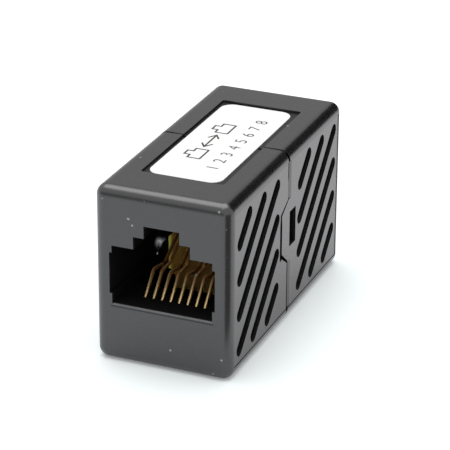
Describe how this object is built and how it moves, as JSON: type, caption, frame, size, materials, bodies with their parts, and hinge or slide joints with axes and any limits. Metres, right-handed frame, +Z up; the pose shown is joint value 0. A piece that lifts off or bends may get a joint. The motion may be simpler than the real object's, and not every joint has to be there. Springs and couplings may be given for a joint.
{
  "type": "rj45 inline coupler",
  "caption": "Black moulded inline coupler: a box in two snapped halves, a stepped modular port with sprung wire contacts at each end, grip grooves and a plain label.",
  "frame": {"origin": "centre of the base, on the surface the coupler stands on", "axes": "+Z up, Y along the coupler with the front port facing -Y, X across its width"},
  "size_m": [0.016, 0.0344, 0.0207],
  "materials": {
    "shell_plastic": "satin black moulded plastic",
    "label_film": "white film label",
    "board_laminate": "green solder mask over glass laminate",
    "carrier_plastic": "black moulded plastic",
    "contact_metal": "gold plated spring wire",
    "solder": "bright solder"
  },
  "bodies": {
    "root": {"front_shell": "shell_plastic", "rear_shell": "shell_plastic", "label": "label_film", "circuit_board": "board_laminate", "front_contact_carrier": "carrier_plastic", "rear_contact_carrier": "carrier_plastic", "front_contact_1": "contact_metal", "front_contact_2": "contact_metal", "front_contact_3": "contact_metal", "front_contact_4": "contact_metal", "front_contact_5": "contact_metal", "front_contact_6": "contact_metal", "front_contact_7": "contact_metal", "front_contact_8": "contact_metal", "front_solder_joints": "solder", "rear_contact_1": "contact_metal", "rear_contact_2": "contact_metal", "rear_contact_3": "contact_metal", "rear_contact_4": "contact_metal", "rear_contact_5": "contact_metal", "rear_contact_6": "contact_metal", "rear_contact_7": "contact_metal", "rear_contact_8": "contact_metal", "rear_solder_joints": "solder"}
  },
  "joints": []
}
